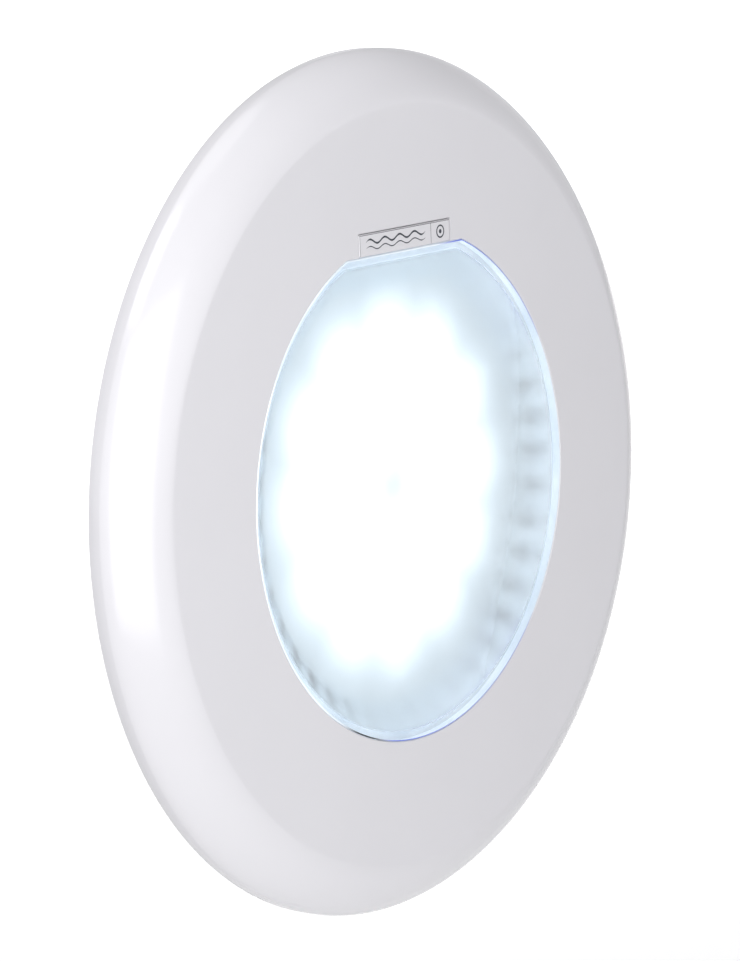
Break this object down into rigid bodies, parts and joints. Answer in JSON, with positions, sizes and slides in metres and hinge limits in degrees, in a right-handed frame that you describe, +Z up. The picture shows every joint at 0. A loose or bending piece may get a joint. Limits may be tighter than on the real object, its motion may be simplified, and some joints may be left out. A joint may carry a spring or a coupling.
{
  "type": "underwater pool light",
  "caption": "Round surface-mounted LED pool light with a soft-rimmed white faceplate, a D-shaped lens and a bayonet wall bracket.",
  "frame": {"origin": "where the lamp's axis meets the pool wall, at the centre of the cable conduit's mouth", "axes": "+Y into the wall, -Y out of the lens into the water, +Z up, +X to the right as seen from the water"},
  "size_m": [0.278, 0.049, 0.278],
  "materials": {
    "faceplate_abs": "white moulded ABS, glossy",
    "badge_abs": "white moulded ABS, glossy, with a printed line pattern",
    "lens_polycarbonate": "clear polycarbonate, faintly frosted inside",
    "reflector_polycarbonate": "white polycarbonate, satin",
    "board_white": "white solder mask over an aluminium core",
    "board_green": "green solder mask",
    "housing_abs": "grey moulded ABS, satin",
    "bracket_abs": "grey moulded ABS, satin",
    "rubber": "matt black rubber",
    "stainless_steel": "bright stainless steel",
    "brass": "turned brass",
    "gland_nylon": "black moulded nylon",
    "plug_nylon": "grey moulded nylon",
    "screw_nylon": "white moulded nylon",
    "lead_red": "red wire insulation",
    "lead_black": "black wire insulation"
  },
  "bodies": {
    "bracket": {"wall_bracket": "bracket_abs", "spigot_seal": "rubber", "detent_leaf": "stainless_steel", "wall_screw_1": "stainless_steel", "wall_screw_2": "stainless_steel", "wall_screw_3": "stainless_steel", "wall_screw_4": "stainless_steel", "wall_plug_1": "plug_nylon", "wall_plug_2": "plug_nylon", "wall_plug_3": "plug_nylon", "wall_plug_4": "plug_nylon"},
    "lamp": {"rear_housing": "housing_abs", "lens": "lens_polycarbonate", "lens_gasket": "rubber", "clamp_ring": "housing_abs", "clamp_screw_1": "stainless_steel", "clamp_screw_2": "stainless_steel", "clamp_screw_3": "stainless_steel", "clamp_screw_4": "stainless_steel", "clamp_screw_5": "stainless_steel", "clamp_screw_6": "stainless_steel", "clamp_screw_7": "stainless_steel", "clamp_screw_8": "stainless_steel", "lock_insert": "brass", "reflector": "reflector_polycarbonate", "led_board": "board_white", "driver_board": "board_green", "led_board_screw_1": "screw_nylon", "led_board_screw_2": "screw_nylon", "led_board_screw_3": "screw_nylon", "driver_screw_1": "stainless_steel", "driver_screw_2": "stainless_steel", "driver_screw_3": "stainless_steel", "led_lead_positive": "lead_red", "led_lead_negative": "lead_black", "grip_clip_1": "stainless_steel", "grip_clip_2": "stainless_steel", "grip_clip_3": "stainless_steel", "grip_clip_4": "stainless_steel", "gland_washer": "rubber", "gland_body": "gland_nylon", "gland_lock_nut": "gland_nylon", "gland_seal": "rubber", "gland_nut": "gland_nylon"},
    "cover": {"faceplate": "faceplate_abs"},
    "badge": {"badge_plate": "badge_abs"},
    "lock": {"lock_screw": "stainless_steel"}
  },
  "joints": [
    {"name": "lamp_turn", "type": "hinge", "parent": "bracket", "child": "lamp", "pos_m": [0, -0.012, 0], "axis": [0, -1, 0], "range_deg": [0, 24]},
    {"name": "faceplate_pull", "type": "slide", "parent": "lamp", "child": "cover", "axis": [0, -1, 0], "range_m": [0, 0.06]},
    {"name": "badge_pull", "type": "slide", "parent": "cover", "child": "badge", "axis": [0, -1, 0], "range_m": [0, 0.03]},
    {"name": "lock_screw_turn", "type": "hinge", "parent": "cover", "child": "lock", "pos_m": [0, -0.022, 0.0796], "axis": [0, -1, 0], "continuous": true}
  ]
}
